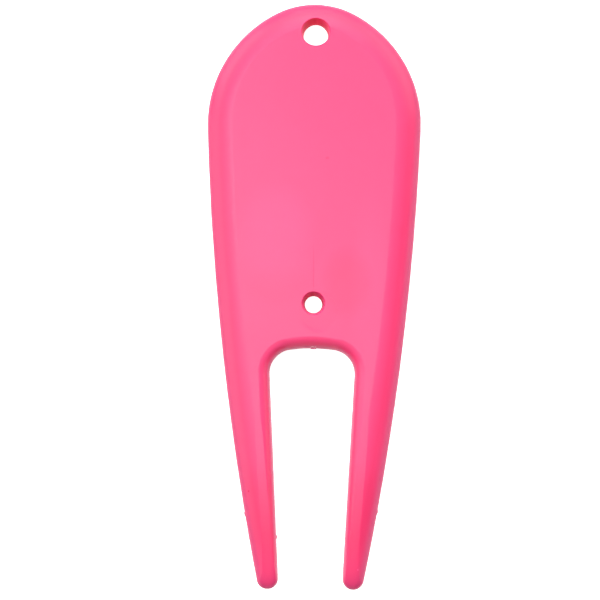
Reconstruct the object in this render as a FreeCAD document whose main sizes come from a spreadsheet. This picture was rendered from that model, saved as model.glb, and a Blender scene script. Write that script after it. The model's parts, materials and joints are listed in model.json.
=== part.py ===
import FreeCAD, Part
import math
import os
import Sketcher

# Divot repair tool: one injection moulding in solid coloured plastic.
#
# Frame: X across the tool, Y along it from the prong tips to the head, Z through
# its thickness. The tool lies on its flat back at Z = 0. Heights along the tool are
# measured from the prong tips, and the finished body is moved half its length, so
# that the origin is under the middle of its box.
#
# The plastic blank is a skin over a stack of level outlines, one above the other
# from the back to the front. Each is a sketch of the same outline, drawn in by an
# amount that grows towards both faces, which rounds every edge over to a parting
# line at half the thickness. The prongs end further from their tips level by
# level, so they thin out to their ends. Holes, ejector mark and gate stub are
# features on that blank.

SIZES = {
    # overall
    "overall_length": 83.0,
    "thickness": 3.5,
    # outer outline, as arcs that run into each other
    "head_radius": 11.9,
    "shoulder_radius": 18.0,
    "shoulder_offset": 2.8,
    "flank_radius": 396.0,
    "flank_centre_height": 80.7,
    "tip_centre_height": 1.5,
    # notch between the prongs
    "notch_height": 33.65,
    "arch_radius": 21.8,
    "corner_radius": 3.36,
    "corner_offset": 2.64,
    "prong_lean": 3.0,
    # how far each face is drawn in from the parting line
    "crown_width": 3.6,
    "notch_round": 1.6,
    "ridge_run": 23.0,
    # holes: a plain land at the back, a drafted mouth, and a broken rim at the front
    "hole_offset": 0.12,
    "land_depth": 1.2,
    "rim_break": 0.1,
    "keyring_hole_height": 78.65,
    "keyring_land_radius": 1.77,
    "keyring_mouth_radius": 2.01,
    "peg_hole_height": 39.9,
    "peg_land_radius": 1.23,
    "peg_mouth_radius": 1.60,
    # ejector mark on the front face
    "ejector_radius": 2.65,
    "ejector_offset": 0.9,
    "ejector_height": 38.66,
    "ejector_depth": 0.03,
    # stub that is left where the runner was broken off
    "gate_offset": 0.17,
    "gate_width": 0.7,
    "gate_thickness": 0.8,
    "gate_stand_out": 0.12,
    "gate_root": 0.6,
}

# Elevation, in degrees, of each level round the rounded edge: 0 is the parting
# line and 90 the face. They crowd towards the face, where the edge turns flattest.
LEVEL_ANGLES = (0, 12, 24, 36, 48, 57, 66, 74, 82, 90)
POINTS_ALONG_PIECE = 13

# How quickly a level is drawn in as it nears a face: CROWN_POWER for the outer
# edge, where 1 is a quarter ellipse, and RIDGE_POWER for the ends of the prongs.
CROWN_POWER = 1.33
RIDGE_POWER = 6

CUT_MARGIN = 0.5
NODE_NAME = "divot_tool"
STEP_FOLDER = "parts"

Vector = FreeCAD.Vector
START, END, CENTRE = 1, 2, 3
X_AXIS, Y_AXIS = -1, -2


def make_sheet(doc):
    """Put every driving dimension into the document's spreadsheet."""
    sheet = doc.addObject("Spreadsheet::Sheet", "Sizes")
    for row, (name, value) in enumerate(SIZES.items(), start=1):
        sheet.set("A%d" % row, name)
        sheet.set("B%d" % row, str(value))
        sheet.setAlias("B%d" % row, name)
    doc.recompute()
    return sheet


def origin_plane(body, role):
    """Return one of the body's own origin planes."""
    for feature in body.Origin.OriginFeatures:
        if feature.Role == role:
            return feature
    raise ValueError("no origin feature " + role)


def new_sketch(body, name, role):
    """Add an empty sketch on one of the body's origin planes."""
    sketch = body.newObject("Sketcher::SketchObject", name)
    sketch.AttachmentSupport = [(origin_plane(body, role), "")]
    sketch.MapMode = "FlatFace"
    return sketch


def bind(sketch, constraint, name, expression):
    """Add a dimension to the sketch and drive it from the spreadsheet."""
    index = sketch.addConstraint(constraint)
    sketch.renameConstraint(index, name)
    sketch.setExpression("Constraints." + name, expression)


def draw_polygon(sketch, corners, level_lines, upright_lines):
    """Draw a closed polygon; line 0 runs from corner 0 to corner 1, and so on."""
    following = [(index + 1) % len(corners) for index in range(len(corners))]
    for index, other in enumerate(following):
        sketch.addGeometry(Part.LineSegment(corners[index], corners[other]), False)
    for index, other in enumerate(following):
        sketch.addConstraint(Sketcher.Constraint("Coincident", index, END, other, START))
    for index in level_lines:
        sketch.addConstraint(Sketcher.Constraint("Horizontal", index))
    for index in upright_lines:
        sketch.addConstraint(Sketcher.Constraint("Vertical", index))


def circle(centre, radius):
    return Part.Circle(Vector(centre[0], centre[1], 0), Vector(0, 0, 1), radius)


def arc(centre, radius, start_degrees, end_degrees):
    """Make an arc that runs anticlockwise from one bearing to the other."""
    start = math.radians(start_degrees)
    return Part.ArcOfCircle(circle(centre, radius), start, math.radians(end_degrees))


def bearing(start, end):
    """Direction from one point to another, in degrees."""
    return math.degrees(math.atan2(end[1] - start[1], end[0] - start[0]))


def centre_beside(centre, gap, offset, side):
    """Centre of an arc that runs into another, from its sideways offset."""
    return (centre[0] + offset, centre[1] + side * math.sqrt(gap ** 2 - offset ** 2))


class Outline:
    """Right half of the outline at one level: centres, radii and joints of its arcs."""

    def __init__(self, angle):
        size = SIZES
        rise = math.sin(math.radians(angle))
        fall = math.cos(math.radians(angle))
        outer_inset = size["crown_width"] * (1 - fall ** CROWN_POWER)
        notch_inset = size["notch_round"] * (1 - fall)

        self.head_centre = (0.0, size["overall_length"] - size["head_radius"])
        self.head_radius = size["head_radius"] - outer_inset

        shoulder_gap = size["shoulder_radius"] - size["head_radius"]
        self.shoulder_centre = centre_beside(
            self.head_centre, shoulder_gap, -size["shoulder_offset"], -1)
        self.shoulder_radius = size["shoulder_radius"] - outer_inset

        flank_gap = size["flank_radius"] - size["shoulder_radius"]
        flank_drop = size["flank_centre_height"] - self.shoulder_centre[1]
        flank_x = self.shoulder_centre[0] - math.sqrt(flank_gap ** 2 - flank_drop ** 2)
        self.flank_centre = (flank_x, size["flank_centre_height"])
        self.flank_radius = size["flank_radius"] - outer_inset

        self.arch_centre = (0.0, size["notch_height"] - size["arch_radius"])
        self.arch_radius = size["arch_radius"] + notch_inset
        corner_gap = size["arch_radius"] - size["corner_radius"]
        self.corner_centre = centre_beside(
            self.arch_centre, corner_gap, size["corner_offset"], 1)
        self.corner_radius = size["corner_radius"] + notch_inset

        # The tip arc touches the flank and the prong's straight inner edge, at a
        # given height: its sideways place is the root of a quadratic.
        lean = math.radians(size["prong_lean"])
        tip_y = size["tip_centre_height"] + size["ridge_run"] * rise ** RIDGE_POWER
        corner_rise = math.sin(lean) * (self.corner_centre[1] - tip_y)
        reach = (self.flank_radius + math.cos(lean) * self.corner_centre[0]
                 - corner_rise + self.corner_radius)
        square = 1 - math.cos(lean) ** 2
        linear = 2 * (reach * math.cos(lean) - flank_x)
        constant = flank_x ** 2 + (tip_y - self.flank_centre[1]) ** 2 - reach ** 2
        root = math.sqrt(linear ** 2 - 4 * square * constant)
        tip_x = -2 * constant / (linear + root)
        self.tip_centre = (tip_x, tip_y)
        self.tip_radius = (math.cos(lean) * (tip_x - self.corner_centre[0])
                           + corner_rise - self.corner_radius)

        self.head_end = bearing(self.shoulder_centre, self.head_centre)
        self.shoulder_end = bearing(self.flank_centre, self.shoulder_centre)
        self.flank_end = bearing(self.flank_centre, self.tip_centre)
        self.arch_end = bearing(self.arch_centre, self.corner_centre)
        self.lean = size["prong_lean"]


def mirrored(point):
    """The same point on the left half."""
    return (-point[0], point[1])


def point_on(centre, radius, degrees):
    """Point of a circle at one bearing from its centre."""
    turn = math.radians(degrees)
    return Vector(centre[0] + radius * math.cos(turn), centre[1] + radius * math.sin(turn), 0)


def outline_geometry(outline):
    """Closed outline, anticlockwise from the head: the left half, then the right."""
    lean = outline.lean
    head_end, shoulder_end = outline.head_end, outline.shoulder_end
    flank_end, arch_end = outline.flank_end, outline.arch_end
    tip, corner = outline.tip_centre, outline.corner_centre
    left_tip, left_corner = mirrored(tip), mirrored(corner)
    left_shoulder = mirrored(outline.shoulder_centre)
    left_flank = mirrored(outline.flank_centre)
    left_edge = (point_on(left_tip, outline.tip_radius, lean),
                 point_on(left_corner, outline.corner_radius, 180 + lean))
    right_edge = (point_on(tip, outline.tip_radius, 180 - lean),
                  point_on(corner, outline.corner_radius, -lean))
    return [
        arc(outline.head_centre, outline.head_radius, head_end, 180 - head_end),
        arc(left_shoulder, outline.shoulder_radius, 180 - head_end, 180 - shoulder_end),
        arc(left_flank, outline.flank_radius, 180 - shoulder_end, 180 - flank_end),
        arc(left_tip, outline.tip_radius, 180 - flank_end, 360 + lean),
        Part.LineSegment(*left_edge),
        arc(left_corner, outline.corner_radius, 180 - arch_end, 180 + lean),
        arc(outline.arch_centre, outline.arch_radius, arch_end, 180 - arch_end),
        arc(corner, outline.corner_radius, -lean, arch_end),
        Part.LineSegment(*right_edge),
        arc(tip, outline.tip_radius, 180 - lean, 360 + flank_end),
        arc(outline.flank_centre, outline.flank_radius, flank_end, shoulder_end),
        arc(outline.shoulder_centre, outline.shoulder_radius, shoulder_end, head_end),
    ]


HEAD, LEFT_SHOULDER, LEFT_FLANK, LEFT_TIP, LEFT_EDGE, LEFT_CORNER = range(6)
ARCH, RIGHT_CORNER, RIGHT_EDGE, RIGHT_TIP, RIGHT_FLANK, RIGHT_SHOULDER = range(6, 12)
PIECE_COUNT = 12

# Where the pieces of the outline run smoothly into each other.
JOINTS = (
    (HEAD, END, LEFT_SHOULDER, START),
    (LEFT_SHOULDER, END, LEFT_FLANK, START),
    (LEFT_FLANK, END, LEFT_TIP, START),
    (LEFT_TIP, END, LEFT_EDGE, START),
    (LEFT_EDGE, END, LEFT_CORNER, END),
    (LEFT_CORNER, START, ARCH, END),
    (ARCH, START, RIGHT_CORNER, END),
    (RIGHT_CORNER, START, RIGHT_EDGE, END),
    (RIGHT_EDGE, START, RIGHT_TIP, START),
    (RIGHT_TIP, END, RIGHT_FLANK, START),
    (RIGHT_FLANK, END, RIGHT_SHOULDER, START),
    (RIGHT_SHOULDER, END, HEAD, START),
)


def level_sketch(doc, angle):
    """Outline of the tool where the rounded edge has the given elevation."""
    side = "Back" if angle < 0 else "Front"
    sketch = doc.addObject("Sketcher::SketchObject", "%sLevel%02d" % (side, abs(angle)))
    sketch.setExpression("Placement.Base.z", "Sizes.thickness / 2 * (1 + sin(%d))" % angle)
    outline = Outline(angle)
    sketch.addGeometry(outline_geometry(outline), False)
    for first, first_end, second, second_end in JOINTS:
        sketch.addConstraint(
            Sketcher.Constraint("Tangent", first, first_end, second, second_end))

    outer_inset = "Sizes.crown_width * (1 - cos(%d) ^ %s)" % (angle, CROWN_POWER)
    notch_inset = "Sizes.notch_round * (1 - cos(%d))" % angle
    for name, piece, radius, height in (
            ("head", HEAD, "Sizes.head_radius - " + outer_inset,
             "Sizes.overall_length - Sizes.head_radius"),
            ("arch", ARCH, "Sizes.arch_radius + " + notch_inset,
             "Sizes.notch_height - Sizes.arch_radius")):
        sketch.addConstraint(Sketcher.Constraint("PointOnObject", piece, CENTRE, Y_AXIS))
        geometry = sketch.Geometry[piece]
        bind(sketch, Sketcher.Constraint("Radius", piece, geometry.Radius), name + "_radius", radius)
        bind(sketch, Sketcher.Constraint("DistanceY", X_AXIS, START, piece, CENTRE, geometry.Center.y),
             name + "_height", height)

    for name, piece, radius in (
            ("left_shoulder", LEFT_SHOULDER, "Sizes.shoulder_radius - " + outer_inset),
            ("right_shoulder", RIGHT_SHOULDER, "Sizes.shoulder_radius - " + outer_inset),
            ("left_flank", LEFT_FLANK, "Sizes.flank_radius - " + outer_inset),
            ("right_flank", RIGHT_FLANK, "Sizes.flank_radius - " + outer_inset),
            ("left_corner", LEFT_CORNER, "Sizes.corner_radius + " + notch_inset),
            ("right_corner", RIGHT_CORNER, "Sizes.corner_radius + " + notch_inset)):
        value = sketch.Geometry[piece].Radius
        bind(sketch, Sketcher.Constraint("Radius", piece, value), name + "_radius", radius)

    for name, piece, offset in (
            ("left_shoulder", LEFT_SHOULDER, "Sizes.shoulder_offset"),
            ("right_shoulder", RIGHT_SHOULDER, "-Sizes.shoulder_offset"),
            ("left_corner", LEFT_CORNER, "-Sizes.corner_offset"),
            ("right_corner", RIGHT_CORNER, "Sizes.corner_offset")):
        value = sketch.Geometry[piece].Center.x
        bind(sketch, Sketcher.Constraint("DistanceX", X_AXIS, START, piece, CENTRE, value),
             name + "_offset", offset)

    tip_height = ("Sizes.tip_centre_height + Sizes.ridge_run * sin(%d) ^ %d"
                  % (abs(angle), RIDGE_POWER))
    for name, piece, height in (
            ("left_flank", LEFT_FLANK, "Sizes.flank_centre_height"),
            ("right_flank", RIGHT_FLANK, "Sizes.flank_centre_height"),
            ("left_tip", LEFT_TIP, tip_height),
            ("right_tip", RIGHT_TIP, tip_height)):
        value = sketch.Geometry[piece].Center.y
        bind(sketch, Sketcher.Constraint("DistanceY", X_AXIS, START, piece, CENTRE, value),
             name + "_height", height)

    for name, piece, turn in (
            ("left_lean", LEFT_EDGE, "(90 + Sizes.prong_lean) * 1 deg"),
            ("right_lean", RIGHT_EDGE, "(90 - Sizes.prong_lean) * 1 deg")):
        edge = sketch.Geometry[piece]
        value = math.radians(bearing(edge.StartPoint, edge.EndPoint))
        bind(sketch, Sketcher.Constraint("Angle", piece, value), name, turn)
    return sketch


def spline(points, places):
    """Curve through the points, at the given places along it."""
    curve = Part.BSplineCurve()
    curve.interpolate(Points=points, Parameters=places)
    return curve


def skin_piece(sketches, angles, piece):
    """Smooth surface through one piece of the outline at every level.

    It is a spline along the piece at each level, and then a spline from level to
    level through those splines' poles, spaced by the levels' elevation.
    """
    steps = [index / (POINTS_ALONG_PIECE - 1) for index in range(POINTS_ALONG_PIECE)]
    rows = []
    for sketch in sketches:
        curve = sketch.Geometry[piece]
        start = curve.FirstParameter
        span = curve.LastParameter - start
        flat_points = [curve.value(start + span * step) for step in steps]
        height = sketch.Placement.Base.z
        rows.append(spline([Vector(point.x, point.y, height) for point in flat_points], steps))
    elevations = [math.radians(angle) for angle in angles]
    columns = [spline([row.getPole(index + 1) for row in rows], elevations)
               for index in range(rows[0].NbPoles)]
    surface = Part.BSplineSurface()
    surface.buildFromPolesMultsKnots(
        [column.getPoles() for column in columns],
        rows[0].getMultiplicities(), columns[0].getMultiplicities(),
        rows[0].getKnots(), columns[0].getKnots(),
        False, False, rows[0].Degree, columns[0].Degree)
    return surface


def flat_face(surfaces, place):
    """Flat face inside the skin's rim at one end of the levels."""
    edges = [surface.vIso(place).toShape() for surface in surfaces]
    return Part.Face(Part.Wire(Part.sortEdges(edges)[0]))


def build_blank(doc):
    """Skin the solid plastic blank over all its level outlines."""
    back_angles = [-angle for angle in reversed(LEVEL_ANGLES) if angle > 0]
    angles = back_angles + list(LEVEL_ANGLES)
    sketches = [level_sketch(doc, angle) for angle in angles]
    doc.recompute()
    check_document(doc)
    surfaces = [skin_piece(sketches, angles, piece) for piece in range(PIECE_COUNT)]
    back_place, front_place = surfaces[0].bounds()[2:]
    faces = [surface.toShape() for surface in surfaces]
    faces.append(flat_face(surfaces, back_place))
    faces.append(flat_face(surfaces, front_place))
    shell = Part.Shell(faces)
    shell.sewShape()
    blank = doc.addObject("Part::Feature", "Blank")
    blank.Shape = Part.Solid(shell)
    return blank


def cut_hole(body, prefix):
    """Groove one hole: a plain land at the back, a drafted mouth and a broken rim."""
    sketch = new_sketch(body, prefix.capitalize() + "HoleSketch", "YZ_Plane")
    sketch.setExpression("AttachmentOffset.Base.z", "Sizes.hole_offset")
    axis_y = SIZES[prefix + "_hole_height"]
    land_y = axis_y + SIZES[prefix + "_land_radius"]
    mouth_y = axis_y + SIZES[prefix + "_mouth_radius"]
    rim_y = mouth_y + SIZES["rim_break"]
    face_z = SIZES["thickness"]
    rim_z = face_z - SIZES["rim_break"]
    below = -CUT_MARGIN
    above = face_z + CUT_MARGIN
    corners = [
        Vector(axis_y, below, 0),
        Vector(land_y, below, 0),
        Vector(land_y, SIZES["land_depth"], 0),
        Vector(mouth_y, rim_z, 0),
        Vector(rim_y, face_z, 0),
        Vector(rim_y, above, 0),
        Vector(axis_y, above, 0),
    ]
    axis_line = len(corners) - 1
    draw_polygon(sketch, corners, level_lines=(0, 5), upright_lines=(1, 4, axis_line))
    axis = "Sizes.%s_hole_height" % prefix
    land = "%s + Sizes.%s_land_radius" % (axis, prefix)
    mouth = "%s + Sizes.%s_mouth_radius" % (axis, prefix)
    for name, kind, line, value, expression in (
            ("axis_place", "DistanceX", 0, axis_y, axis),
            ("land_place", "DistanceX", 1, land_y, land),
            ("mouth_place", "DistanceX", 3, mouth_y, mouth),
            ("rim_place", "DistanceX", 4, rim_y, mouth + " + Sizes.rim_break"),
            ("below", "DistanceY", 0, below, "-%s" % CUT_MARGIN),
            ("land_top", "DistanceY", 2, SIZES["land_depth"], "Sizes.land_depth"),
            ("mouth_top", "DistanceY", 3, rim_z, "Sizes.thickness - Sizes.rim_break"),
            ("face", "DistanceY", 4, face_z, "Sizes.thickness"),
            ("above", "DistanceY", axis_line, above, "Sizes.thickness + %s" % CUT_MARGIN)):
        bind(sketch, Sketcher.Constraint(kind, X_AXIS, START, line, START, value), name, expression)
    groove = body.newObject("PartDesign::Groove", prefix.capitalize() + "Hole")
    groove.Profile = sketch
    groove.ReferenceAxis = (sketch, ["Edge%d" % (axis_line + 1)])
    groove.Angle = 360
    return groove


def cut_ejector_mark(body):
    """Sink the shallow round mark of the ejector sleeve into the front face."""
    sketch = new_sketch(body, "EjectorSketch", "XY_Plane")
    sketch.setExpression("AttachmentOffset.Base.z", "Sizes.thickness")
    centre = (SIZES["ejector_offset"], SIZES["ejector_height"])
    sketch.addGeometry(circle(centre, SIZES["ejector_radius"]), False)
    bind(sketch, Sketcher.Constraint("Radius", 0, SIZES["ejector_radius"]),
         "radius", "Sizes.ejector_radius")
    bind(sketch, Sketcher.Constraint("DistanceX", X_AXIS, START, 0, CENTRE, centre[0]),
         "offset", "Sizes.ejector_offset")
    bind(sketch, Sketcher.Constraint("DistanceY", X_AXIS, START, 0, CENTRE, centre[1]),
         "height", "Sizes.ejector_height")
    pocket = body.newObject("PartDesign::Pocket", "EjectorMark")
    pocket.Profile = sketch
    pocket.setExpression("Length", "Sizes.ejector_depth")
    return pocket


def add_gate_stub(body):
    """Pad the broken stub of the gate, at half thickness in the crown of the notch."""
    sketch = new_sketch(body, "GateSketch", "XY_Plane")
    sketch.setExpression("AttachmentOffset.Base.z", "(Sizes.thickness - Sizes.gate_thickness) / 2")
    left = SIZES["gate_offset"] - SIZES["gate_width"] / 2
    right = SIZES["gate_offset"] + SIZES["gate_width"] / 2
    low = SIZES["notch_height"] - SIZES["gate_stand_out"]
    high = SIZES["notch_height"] + SIZES["gate_root"]
    corners = [
        Vector(left, low, 0),
        Vector(right, low, 0),
        Vector(right, high, 0),
        Vector(left, high, 0),
    ]
    draw_polygon(sketch, corners, level_lines=(0, 2), upright_lines=(1, 3))
    for name, kind, line, value, expression in (
            ("left", "DistanceX", 0, left, "Sizes.gate_offset - Sizes.gate_width / 2"),
            ("right", "DistanceX", 1, right, "Sizes.gate_offset + Sizes.gate_width / 2"),
            ("low", "DistanceY", 0, low, "Sizes.notch_height - Sizes.gate_stand_out"),
            ("high", "DistanceY", 2, high, "Sizes.notch_height + Sizes.gate_root")):
        bind(sketch, Sketcher.Constraint(kind, X_AXIS, START, line, START, value), name, expression)
    pad = body.newObject("PartDesign::Pad", "GateStub")
    pad.Profile = sketch
    pad.setExpression("Length", "Sizes.gate_thickness")
    return pad


def check_document(doc):
    """Stop if any object of the document failed to recompute."""
    for item in doc.Objects:
        if "Invalid" in item.State or "Error" in item.State:
            raise RuntimeError("%s is %s" % (item.Name, item.State))


def volume_after(doc, feature):
    """Recompute the document and measure the plastic up to one feature."""
    doc.recompute()
    check_document(doc)
    return feature.Shape.Volume


def volume_after_cut(doc, feature, volume_before):
    """Volume after a cut, which has to have removed some plastic."""
    volume = volume_after(doc, feature)
    if volume >= volume_before:
        raise RuntimeError(feature.Name + " removed nothing")
    return volume


def build_tool(doc):
    """Build the moulding, and check that each feature adds or removes plastic."""
    blank = build_blank(doc)
    body = doc.addObject("PartDesign::Body", "DivotTool")
    body.Label = NODE_NAME
    body.BaseFeature = blank
    volume = volume_after(doc, blank)
    volume = volume_after_cut(doc, cut_hole(body, "keyring"), volume)
    volume = volume_after_cut(doc, cut_hole(body, "peg"), volume)
    volume = volume_after_cut(doc, cut_ejector_mark(body), volume)
    if volume_after(doc, add_gate_stub(body)) <= volume:
        raise RuntimeError("the gate stub added nothing")
    body.setExpression("Placement.Base.y", "-Sizes.overall_length / 2")
    doc.recompute()
    check_document(doc)
    return body


def export(body):
    """Check the finished solid and write it to its own STEP file."""
    shape = body.Shape
    if shape.isNull() or not shape.isValid() or len(shape.Solids) != 1:
        raise RuntimeError("%s is not one valid solid" % body.Label)
    os.makedirs(STEP_FOLDER, exist_ok=True)
    shape.exportStep(os.path.join(STEP_FOLDER, body.Label + ".step"))
    print("%s: volume %.1f mm3" % (body.Label, shape.Volume))


def main():
    """Build the tool in a new document and export it."""
    doc = FreeCAD.newDocument("DivotRepairTool")
    make_sheet(doc)
    body = build_tool(doc)
    export(body)


main()
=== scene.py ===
import json
import math

import bmesh
import bpy
from mathutils import Matrix, Vector, noise


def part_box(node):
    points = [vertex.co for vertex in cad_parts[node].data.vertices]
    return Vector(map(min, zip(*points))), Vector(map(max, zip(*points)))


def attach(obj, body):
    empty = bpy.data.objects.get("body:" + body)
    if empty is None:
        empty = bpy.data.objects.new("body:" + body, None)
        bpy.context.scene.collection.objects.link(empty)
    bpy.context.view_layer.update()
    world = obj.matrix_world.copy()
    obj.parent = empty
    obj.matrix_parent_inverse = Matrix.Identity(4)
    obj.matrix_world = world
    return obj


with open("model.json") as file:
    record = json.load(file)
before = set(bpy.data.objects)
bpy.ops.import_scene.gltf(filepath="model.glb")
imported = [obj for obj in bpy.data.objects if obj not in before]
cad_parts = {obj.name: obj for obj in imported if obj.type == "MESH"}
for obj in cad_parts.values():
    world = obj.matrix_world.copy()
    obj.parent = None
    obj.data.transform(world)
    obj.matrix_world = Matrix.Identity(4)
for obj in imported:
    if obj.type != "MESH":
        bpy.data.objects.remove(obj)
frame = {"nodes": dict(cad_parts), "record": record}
bpy.context.view_layer.update()

# Every length is in metres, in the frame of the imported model: X to the right,
# Y towards the rounded head, Z out of the front face.
MILLIMETRE = 0.001
TOOL = frame["nodes"]["divot_tool"]
LOW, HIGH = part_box("divot_tool")
LENGTH = HIGH.y - LOW.y
PARTING = 0.5 * (LOW.z + HIGH.z)


def place(obj, location, forward, up):
    """Stands an object at a point, looking along forward with its top towards up."""
    forward = Vector(forward).normalized()
    right = forward.cross(Vector(up)).normalized()
    top = right.cross(forward)
    turn = Matrix((right, top, -forward)).transposed()
    obj.matrix_world = Matrix.Translation(Vector(location)) @ turn.to_4x4()


def link(obj):
    bpy.context.scene.collection.objects.link(obj)
    return obj


# Camera: close above the notch, looking slightly towards the head.

CAMERA_HEIGHT = 0.210
CAMERA_BACK = 0.2006 * LENGTH
AIM_X = -0.00179
AIM_Y = -0.00103
ROLL = math.radians(0.54)
SENSOR_WIDTH = 0.036
LENS = 0.08933
CLIP_START = 0.01
CLIP_END = 20.0


def make_camera():
    camera = link(bpy.data.objects.new("camera", bpy.data.cameras.new("camera")))
    eye = Vector((0.0, -CAMERA_BACK, PARTING + CAMERA_HEIGHT))
    aim = Vector((AIM_X, AIM_Y, PARTING))
    place(camera, eye, aim - eye, (-math.sin(ROLL), math.cos(ROLL), 0.0))
    camera.data.sensor_width = SENSOR_WIDTH / MILLIMETRE
    camera.data.lens = LENS / MILLIMETRE
    camera.data.clip_start = CLIP_START
    camera.data.clip_end = CLIP_END
    bpy.context.scene.camera = camera


make_camera()


# Light: soft square panels on a dome of one metre round the tool, most of them over
# the head and the left side. Each is tilted from straight up towards an azimuth that
# counts anticlockwise from +X. A panel whose share of straight up is less than STEEP
# stands upright, and a higher one has its top towards the head.

REACH = 1.0
STEEP = 0.6
PANELS = (
    # name, tilt, azimuth, size, radiance
    ("panel_top", 0, 0, 0.30, 4.6),
    ("panel_high_head", 18, 135, 0.28, 5.2),
    ("panel_high_left", 18, 180, 0.28, 2.4),
    ("panel_head", 38, 90, 0.45, 3.3),
    ("panel_left", 38, 180, 0.45, 1.4),
    ("panel_low_right_head", 60, 45, 0.70, 2.8),
    ("panel_low_head", 60, 90, 0.60, 2.7),
    ("panel_low_left_head", 60, 135, 0.60, 3.7),
    ("panel_low_left", 60, 180, 0.60, 2.3),
    ("panel_side_right", 82, 0, 0.70, 2.1),
    ("panel_side_left", 80, 180, 0.60, 0.95),
    ("panel_side_tips", 72, 270, 0.60, 1.0),
)
WHITE = (1.0, 1.0, 1.0, 1.0)
ROOM_GLOW = 0.02

# The floor's glow is seen by the camera and its sheen by reflections only. The gap
# below the tool keeps the two faces apart.
FLOOR_SIZE = 12.0
FLOOR_GAP = 0.00002
FLOOR_COLOUR = (0.9, 0.9, 0.9, 1.0)
FLOOR_ROUGHNESS = 0.9
FLOOR_GLOW = 1.0
FLOOR_SHEEN = 0.8


def make_panel(name, tilt, azimuth, size, radiance):
    """A square soft light that faces the tool."""
    tilt, azimuth = math.radians(tilt), math.radians(azimuth)
    spread = math.sin(tilt)
    towards = Vector((spread * math.cos(azimuth), spread * math.sin(azimuth), math.cos(tilt)))
    light = bpy.data.lights.new(name, "AREA")
    light.shape = "SQUARE"
    light.size = size
    light.energy = radiance * math.pi * size ** 2
    panel = link(bpy.data.objects.new(name, light))
    panel.visible_camera = False
    upright = (0.0, 0.0, 1.0) if towards.z < STEEP else (0.0, 1.0, 0.0)
    place(panel, REACH * towards, -towards, upright)


def make_room():
    """A dim even room whose walls are seen as white."""
    world = bpy.data.worlds.new("room")
    world.use_nodes = True
    tree = world.node_tree
    background = tree.nodes["Background"]
    background.inputs["Color"].default_value = WHITE
    seen = tree.nodes.new("ShaderNodeLightPath").outputs["Is Camera Ray"]
    strength = tree.nodes.new("ShaderNodeMapRange")
    strength.inputs["To Min"].default_value = ROOM_GLOW
    strength.inputs["To Max"].default_value = 1.0
    tree.links.new(seen, strength.inputs["Value"])
    tree.links.new(strength.outputs["Result"], background.inputs["Strength"])
    bpy.context.scene.world = world


def make_floor():
    """A plain white floor under the tool that looks white from everywhere."""
    half = FLOOR_SIZE / 2
    corners = [(-half, -half, 0), (half, -half, 0), (half, half, 0), (-half, half, 0)]
    mesh = bpy.data.meshes.new("floor")
    mesh.from_pydata(corners, [], [(0, 1, 2, 3)])
    floor = link(bpy.data.objects.new("floor", mesh))
    floor.location.z = LOW.z - FLOOR_GAP
    material = bpy.data.materials.new("white_floor")
    material.use_nodes = True
    tree = material.node_tree
    shader = tree.nodes["Principled BSDF"]
    shader.inputs["Base Color"].default_value = FLOOR_COLOUR
    shader.inputs["Roughness"].default_value = FLOOR_ROUGHNESS
    shader.inputs["Emission Color"].default_value = WHITE
    path = tree.nodes.new("ShaderNodeLightPath").outputs
    sheen = tree.nodes.new("ShaderNodeMath")
    sheen.operation = "MULTIPLY"
    sheen.inputs[1].default_value = FLOOR_SHEEN
    tree.links.new(path["Is Glossy Ray"], sheen.inputs[0])
    glow = tree.nodes.new("ShaderNodeMath")
    glow.operation = "MULTIPLY_ADD"
    glow.inputs[1].default_value = FLOOR_GLOW
    tree.links.new(path["Is Camera Ray"], glow.inputs[0])
    tree.links.new(sheen.outputs["Value"], glow.inputs[2])
    tree.links.new(glow.outputs["Value"], shader.inputs["Emission Strength"])
    floor.data.materials.append(material)


make_room()
for panel in PANELS:
    make_panel(*panel)
make_floor()


# Pink moulded plastic

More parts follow.
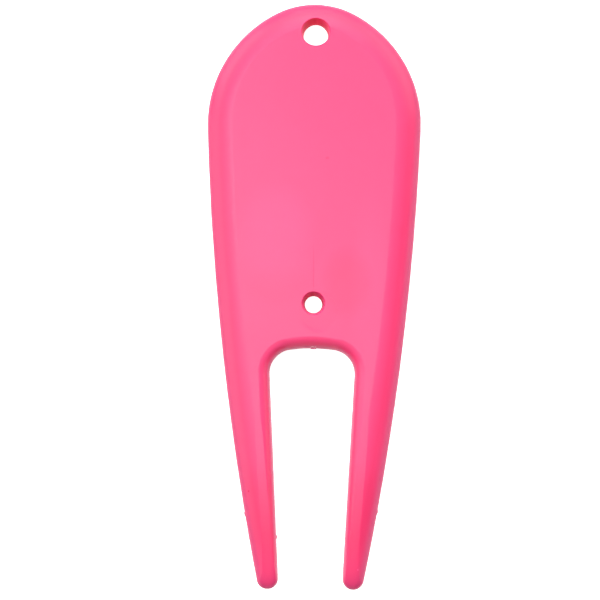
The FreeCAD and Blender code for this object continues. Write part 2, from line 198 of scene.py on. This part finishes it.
class Nodes:
    """Adds shader nodes to one material and joins them."""

    def __init__(self, material):
        material.use_nodes = True
        self.tree = material.node_tree
        self.shader = self.tree.nodes["Principled BSDF"]

    def fill(self, target, value):
        """Puts a number into a socket, or joins another socket to it."""
        if isinstance(value, bpy.types.NodeSocket):
            self.tree.links.new(value, target)
        else:
            target.default_value = value

    def add(self, kind, settings=None, **values):
        node = self.tree.nodes.new(kind)
        for name, value in (settings or {}).items():
            setattr(node, name, value)
        for name, value in values.items():
            self.fill(node.inputs[name.replace("_", " ")], value)
        return node

    def math(self, operation, *values):
        node = self.add("ShaderNodeMath", {"operation": operation})
        for target, value in zip(node.inputs, values):
            self.fill(target, value)
        return node.outputs["Value"]

    def ramp(self, value, start, end, low=0.0, high=1.0):
        """Runs smoothly from low to high as value goes from start to end."""
        node = self.add(
            "ShaderNodeMapRange", {"interpolation_type": "SMOOTHSTEP"},
            Value=value, From_Min=start, From_Max=end, To_Min=low, To_Max=high)
        return node.outputs["Result"]

    def noise(self, where, scale, detail=2.0, stretch=(1.0, 1.0, 1.0)):
        """Noise between 0 and 1 in the object's own space, drawn out by stretch."""
        stretched = self.add("ShaderNodeVectorMath", {"operation": "MULTIPLY"})
        self.fill(stretched.inputs[0], where)
        self.fill(stretched.inputs[1], stretch)
        node = self.add("ShaderNodeTexNoise", Scale=scale, Detail=detail)
        self.fill(node.inputs["Vector"], stretched.outputs["Vector"])
        return node.outputs["Fac"]

    def spot(self, place, centre, radii, strength):
        """A soft oval patch on both faces: strength in its middle, 0 outside it."""
        across = self.math("DIVIDE", self.math("SUBTRACT", place["X"], centre[0]), radii[0])
        along = self.math("DIVIDE", self.math("SUBTRACT", place["Y"], centre[1]), radii[1])
        squares = self.math("ADD", self.math("POWER", across, 2.0), self.math("POWER", along, 2.0))
        return self.ramp(squares, 0.0, 1.0, strength, 0.0)

    def radius(self, place, centre):
        """Distance from an upright axis through centre."""
        across = self.math("POWER", self.math("SUBTRACT", place["X"], centre[0]), 2.0)
        along = self.math("POWER", self.math("SUBTRACT", place["Y"], centre[1]), 2.0)
        return self.math("SQRT", self.math("ADD", across, along))

    def blend(self, share, colour, other, limited=True):
        """Runs from colour to other as share goes from 0 to 1, or past them if not limited."""
        settings = {"data_type": "RGBA", "clamp_factor": limited}
        node = self.add("ShaderNodeMix", settings, A=colour, B=other)
        self.fill(node.inputs["Factor"], share)
        return node.outputs["Result"]

    def total(self, *values):
        result = values[0]
        for value in values[1:]:
            result = self.math("ADD", result, value)
        return result


# The plastic is slightly translucent. Its colour carries painted shade: it is palest on the face
# and deepens down the rounded sides to the rim.
# Depth is the distance from the parting plane in the middle of the thickness: the
# rim colour fades into the edge colour, and that into the face colour.
RIM_SHADE_PINK = (0.70, 0.052, 0.175, 1.0)
EDGE_SHADE_PINK = (0.90, 0.055, 0.180, 1.0)
FACE_PINK = (0.95, 0.075, 0.223, 1.0)
OUTER_DEPTH = 0.00060
RIM_DEPTH = 0.00134
EDGE_SHADE_DEPTH = 0.00140
FACE_DEPTH = 0.00174

# Faint clouds in the colour, and hairlines that make the gloss duller. A range says
# between which values of the noise something goes from none to full.
CLOUD_SCALE = 110.0
CLOUD_DETAIL = 3.0
CLOUD_SHARE = 0.12
CLOUD_RANGE = (0.3, 0.7)
CLOUD_ROUGHNESS = (0.28, 0.31)
HAIRLINE_SCALE = 500.0
HAIRLINE_DETAIL = 2.0
HAIRLINE_STRETCH = (8.0, 0.4, 1.0)
HAIRLINE_RANGE = (0.64, 0.80)
HAIRLINE_ROUGHNESS = 0.02

# Paler (above 0) and deeper (below 0) patches and specks on both faces. Those marked below are
# painted light and painted shade; the others are paler or deeper spots and specks.
PATCHES_AND_PAINTED_LIGHT = (
    # centre and radii in millimetres, strength
    # painted highlight: a broad pool of light on the upper left of the face
    ((-5.3, 7.9), (6.4, 8.8), 0.48),
    # painted light: paler over the head, which faces the lamps
    ((-4.2, 16.0), (8.0, 12.0), 0.10),
    # painted highlight: a pale band down the right side of the face
    ((8.0, 0.0), (3.2, 18.0), 0.25),
    ((4.7, 1.4), (4.2, 6.0), -0.62),
    ((-4.5, 0.8), (6.0, 3.2), -0.15),
    # painted shade: the prongs deeper where they slope away towards the tips
    ((0.0, -31.3), (20.0, 9.0), -0.62),
    ((1.9, 19.0), (0.35, 0.25), -0.9),
    ((-8.7, -27.9), (0.16, 0.22), -2.5),
    # painted glint near the tip of the right prong
    ((6.6, -38.6), (0.14, 0.14), 2.5),
)

# The core pins left the walls of both holes duller than the rest. The walls also carry painted
# shade: a deeper crimson, deepest in the smaller peg hole.
GLOSS = 0.35
KEYRING_HOLE, PEG_HOLE = [mount["pos_m"] for mount in frame["record"]["mounts"][1:3]]
KEYRING_RIM = 2.01 * MILLIMETRE
PEG_RIM = 1.6 * MILLIMETRE
RIM_BREAK = 0.1 * MILLIMETRE
HOLES = (
    # axis, rim, colour, gloss
    (KEYRING_HOLE, KEYRING_RIM, (0.92, 0.034, 0.180, 1.0), 0.015),
    (PEG_HOLE, PEG_RIM, (0.84, 0.026, 0.190, 1.0), 0.005),
)

# Painted glints: pale flecks on the broken gate in the top of the notch.
GLINT_PINK = (1.00, 0.420, 0.540, 1.0)
GLINT_SCALE = 6000.0
GLINT_RANGE = (0.48, 0.60)
GLINT_STRENGTH = 1.5
GATE_CENTRE = (0.17 * MILLIMETRE, -7.85 * MILLIMETRE)
GATE_REACH = (0.60 * MILLIMETRE, 0.35 * MILLIMETRE)

# Relief: a fine orange peel, a finer grain, the seam beyond the peg hole and the
# shoulder of the ejector mark below it.
PEEL_SCALE = 900.0
PEEL_DEPTH = 0.0000022
GRAIN_SCALE = 4000.0
GRAIN_DEPTH = 0.0000006
KNIT_DEPTH = 0.000010
KNIT_SHADE = -0.8
KNIT_LENGTH = 0.0080
KNIT_HALF_WIDTH = 0.00009
KNIT_WANDER = 0.00030
KNIT_WANDER_SCALE = 160.0
MARK_CENTRE = (PEG_HOLE[0] + 0.78 * MILLIMETRE, PEG_HOLE[1] - 1.24 * MILLIMETRE)
MARK_RADIUS = 2.65 * MILLIMETRE
MARK_SHOULDER = 0.35 * MILLIMETRE
MARK_DEPTH = 0.000040

REFRACTION = 1.49
SCATTER_SHARE = 0.15
SCATTER_COLOURS = (1.0, 0.3, 0.4)
SCATTER_REACH = 0.0006


def knit_line(nodes, place, where):
    """Seam where the two streams of plastic met beyond the peg hole: 0 to 1."""
    drift = nodes.math("SUBTRACT", nodes.noise(where, KNIT_WANDER_SCALE), 0.5)
    wander = nodes.math("MULTIPLY", drift, KNIT_WANDER)
    across = nodes.math("ADD", nodes.math("SUBTRACT", place["X"], PEG_HOLE[0]), wander)
    line = nodes.ramp(nodes.math("ABSOLUTE", across), 0.0, KNIT_HALF_WIDTH, 1.0, 0.0)
    rim = PEG_HOLE[1] + PEG_RIM
    above = nodes.ramp(place["Y"], rim, rim + MILLIMETRE)
    below = nodes.ramp(place["Y"], rim + KNIT_LENGTH / 2, rim + KNIT_LENGTH, 1.0, 0.0)
    return nodes.math("MULTIPLY", line, nodes.math("MULTIPLY", above, below))


def gate_glints(nodes, place, where):
    """Painted glints as pale flecks where the gate was broken off in the top of the notch: 0 to 1.
    """
    flecks = nodes.ramp(nodes.noise(where, GLINT_SCALE), *GLINT_RANGE)
    gate = nodes.spot(place, GATE_CENTRE, GATE_REACH, GLINT_STRENGTH)
    return nodes.math("MULTIPLY", flecks, gate)


def ejector_shoulder(nodes, place):
    """Soft shoulder round the ejector mark, pressed deeper on the notch side: -1 to 0."""
    radius = nodes.radius(place, MARK_CENTRE)
    bowl = nodes.ramp(radius, MARK_RADIUS - MARK_SHOULDER, MARK_RADIUS + MARK_SHOULDER, -1.0, 0.0)
    along = nodes.math("SUBTRACT", place["Y"], MARK_CENTRE[1])
    lower = nodes.ramp(along, -MARK_RADIUS, 0.0, 1.0, 0.0)
    front = nodes.math("GREATER_THAN", place["Z"], PARTING)
    return nodes.math("MULTIPLY", bowl, nodes.math("MULTIPLY", lower, front))


def body_colour(nodes, place, cloud, knit):
    """Pink by depth with painted shade down the sides, with clouds, paler and deeper spots that
    include painted light and shade, specks and the darker knit line.
    """
    depth = nodes.math("ABSOLUTE", nodes.math("SUBTRACT", place["Z"], PARTING))
    # painted shade: the colour deepens below the face, towards the parting plane
    unshaded = nodes.add("ShaderNodeMapRange", Value=depth, From_Min=EDGE_SHADE_DEPTH, From_Max=FACE_DEPTH)
    clouds = nodes.math("MULTIPLY", nodes.math("SUBTRACT", cloud, 0.5), CLOUD_SHARE)
    # paler and deeper spots, some of them painted light and painted shade
    patches_and_painted_light = []
    for centre, radii, strength in PATCHES_AND_PAINTED_LIGHT:
        centre = [MILLIMETRE * value for value in centre]
        radii = [MILLIMETRE * value for value in radii]
        patches_and_painted_light.append(nodes.spot(place, centre, radii, strength))
    shade = nodes.math("MULTIPLY", knit, KNIT_SHADE)
    share = nodes.total(unshaded.outputs["Result"], clouds, shade, *patches_and_painted_light)
    pink = nodes.blend(share, EDGE_SHADE_PINK, FACE_PINK, limited=False)
    # painted shade: the darkest colour on the rim at the parting plane
    return nodes.blend(nodes.ramp(depth, OUTER_DEPTH, RIM_DEPTH), RIM_SHADE_PINK, pink)


def pink_plastic():
    """Glossy moulded plastic: colour by depth with painted shade, painted light in spots and on
    the hole walls, painted glints, fine relief, hairlines.
    """
    material = bpy.data.materials.new("pink_plastic")
    nodes = Nodes(material)
    inputs = nodes.shader.inputs
    where = nodes.add("ShaderNodeTexCoord").outputs["Object"]
    place = nodes.add("ShaderNodeSeparateXYZ", Vector=where).outputs
    cloud = nodes.noise(where, CLOUD_SCALE, CLOUD_DETAIL)
    knit = knit_line(nodes, place, where)

    colour = body_colour(nodes, place, cloud, knit)
    # painted glints on the broken gate
    colour = nodes.blend(gate_glints(nodes, place, where), colour, GLINT_PINK)
    gloss = GLOSS
    # painted shade: each hole's wall takes its deeper crimson
    for axis, rim, hole_shade_pink, hole_gloss in HOLES:
        wall = nodes.ramp(nodes.radius(place, axis), rim, rim + RIM_BREAK, 1.0, 0.0)
        colour = nodes.blend(wall, colour, hole_shade_pink)
        gloss = nodes.total(nodes.math("MULTIPLY", wall, hole_gloss - GLOSS), gloss)
    nodes.fill(inputs["Base Color"], colour)
    nodes.fill(inputs["Specular IOR Level"], gloss)

    streaks = nodes.noise(where, HAIRLINE_SCALE, HAIRLINE_DETAIL, HAIRLINE_STRETCH)
    rough = nodes.total(
        nodes.ramp(cloud, *CLOUD_RANGE, *CLOUD_ROUGHNESS),
        nodes.math("MULTIPLY", nodes.ramp(streaks, *HAIRLINE_RANGE), HAIRLINE_ROUGHNESS))
    nodes.fill(inputs["Roughness"], rough)
    relief = nodes.total(
        nodes.math("MULTIPLY", nodes.noise(where, PEEL_SCALE), PEEL_DEPTH),
        nodes.math("MULTIPLY", nodes.noise(where, GRAIN_SCALE), GRAIN_DEPTH),
        nodes.math("MULTIPLY", knit, -KNIT_DEPTH),
        nodes.math("MULTIPLY", ejector_shoulder(nodes, place), MARK_DEPTH))
    bump = nodes.add("ShaderNodeBump", Strength=1.0, Distance=1.0, Height=relief)
    nodes.fill(inputs["Normal"], bump.outputs["Normal"])

    inputs["IOR"].default_value = REFRACTION
    inputs["Subsurface Weight"].default_value = SCATTER_SHARE
    inputs["Subsurface Radius"].default_value = SCATTER_COLOURS
    inputs["Subsurface Scale"].default_value = SCATTER_REACH
    return material


PINK_PLASTIC = pink_plastic()
TOOL.data.materials.clear()
TOOL.data.materials.append(PINK_PLASTIC)


# Parting flash: the hair-thin burr where the halves of the mould met, all round the
# outline at half the thickness, with three small nubs near the ends of the prongs. It
# stands a little proud of the outline and is rooted a little inside it.

FLASH_STEP = 0.00015
FLASH_PROUD = 0.000022
FLASH_WAVER = 0.000016
FLASH_WAVES = 600.0
FLASH_HALF_THICKNESS = 0.00004
FLASH_ROOT = 0.00003
NUB_PROUD = 0.00009
NUB_HALF_LENGTH = 0.00035
NUB_HALF_THICKNESS = 0.00008
# Side of the tool, outer (1) or inner (-1) edge of the prong, and height above the
# tips as a share of the length.
NUBS = ((-1, 1, 0.125), (1, 1, 0.130), (-1, -1, 0.087))


def parting_loop():
    """The tool's outline at the parting plane, as points in order."""
    cut = bmesh.new()
    cut.from_mesh(TOOL.data)
    everything = cut.verts[:] + cut.edges[:] + cut.faces[:]
    bmesh.ops.bisect_plane(
        cut, geom=everything, dist=1e-8, plane_co=(0, 0, PARTING), plane_no=(0, 0, 1),
        clear_inner=True, clear_outer=True)
    bmesh.ops.remove_doubles(cut, verts=cut.verts, dist=1e-7)
    loops = []
    unseen = set(cut.verts)
    while unseen:
        vert = min(unseen, key=lambda v: (v.co.x, v.co.y))
        loop = []
        while vert is not None:
            unseen.discard(vert)
            loop.append(vert.co.copy())
            beyond = [edge.other_vert(vert) for edge in vert.link_edges]
            beyond = sorted((v for v in beyond if v in unseen), key=lambda v: (v.co.y, v.co.x))
            vert = beyond[0] if beyond else None
        loops.append(loop)
    cut.free()
    return max(loops, key=len)


def even_steps(loop, step):
    """Points at even steps round a closed loop."""
    legs = [(b - a).length for a, b in zip(loop, loop[1:] + loop[:1])]
    round_trip = sum(legs)
    count = round(round_trip / step)
    points = []
    leg, passed = 0, 0.0
    for index in range(count):
        distance = round_trip * index / count
        while passed + legs[leg] < distance:
            passed += legs[leg]
            leg += 1
        share = (distance - passed) / legs[leg]
        points.append(loop[leg].lerp(loop[(leg + 1) % len(loop)], share))
    return points


def outward(points):
    """Directions square to a closed loop, away from what it encloses."""
    pairs = list(zip(points, points[1:] + points[:1]))
    turn = math.copysign(1.0, sum(a.x * b.y - b.x * a.y for a, b in pairs))
    directions = []
    for index, point in enumerate(points):
        along = points[(index + 1) % len(points)] - points[index - 1]
        directions.append(turn * Vector((along.y, -along.x, 0.0)).normalized())
    return directions


def nub_share(point, direction):
    """How much of a nub stands at a point of the loop: 0 to 1."""
    share = 0.0
    for side, edge, height in NUBS:
        away = (point.y - LOW.y - height * LENGTH) / NUB_HALF_LENGTH
        if point.x * side > 0 and direction.x * side * edge > 0:
            share = max(share, 1.0 - away ** 2)
    return share


def inside(point):
    """The nearest point within the tool's own box."""
    return [min(max(value, low), high) for value, low, high in zip(point, LOW, HIGH)]


def parting_flash():
    """A closed strip round the outline, three-sided all the way."""
    points = even_steps(parting_loop(), FLASH_STEP)
    corners = []
    for point, direction in zip(points, outward(points)):
        share = nub_share(point, direction)
        proud = FLASH_PROUD + FLASH_WAVER * noise.noise(FLASH_WAVES * point) + NUB_PROUD * share
        half = FLASH_HALF_THICKNESS + NUB_HALF_THICKNESS * share
        root = point - FLASH_ROOT * direction
        corners.append(inside(root - Vector((0.0, 0.0, half))))
        corners.append(inside(root + Vector((0.0, 0.0, half))))
        corners.append(inside(point + proud * direction))
    faces = []
    for index in range(len(points)):
        low, high, ridge = 3 * index, 3 * index + 1, 3 * index + 2
        beyond = 3 * ((index + 1) % len(points))
        next_low, next_high, next_ridge = beyond, beyond + 1, beyond + 2
        faces.append((low, next_low, next_ridge, ridge))
        faces.append((ridge, next_ridge, next_high, high))
        faces.append((high, next_high, next_low, low))
    mesh = bpy.data.meshes.new("parting_flash")
    mesh.from_pydata(corners, [], faces)
    tidy = bmesh.new()
    tidy.from_mesh(mesh)
    bmesh.ops.recalc_face_normals(tidy, faces=tidy.faces)
    tidy.to_mesh(mesh)
    tidy.free()
    mesh.materials.append(PINK_PLASTIC)
    flash = link(bpy.data.objects.new("parting_flash", mesh))
    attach(flash, "root")


parting_flash()

bpy.context.scene.view_settings.view_transform = "Standard"
bpy.context.scene.view_settings.look = "None"

bpy.context.view_layer.update()
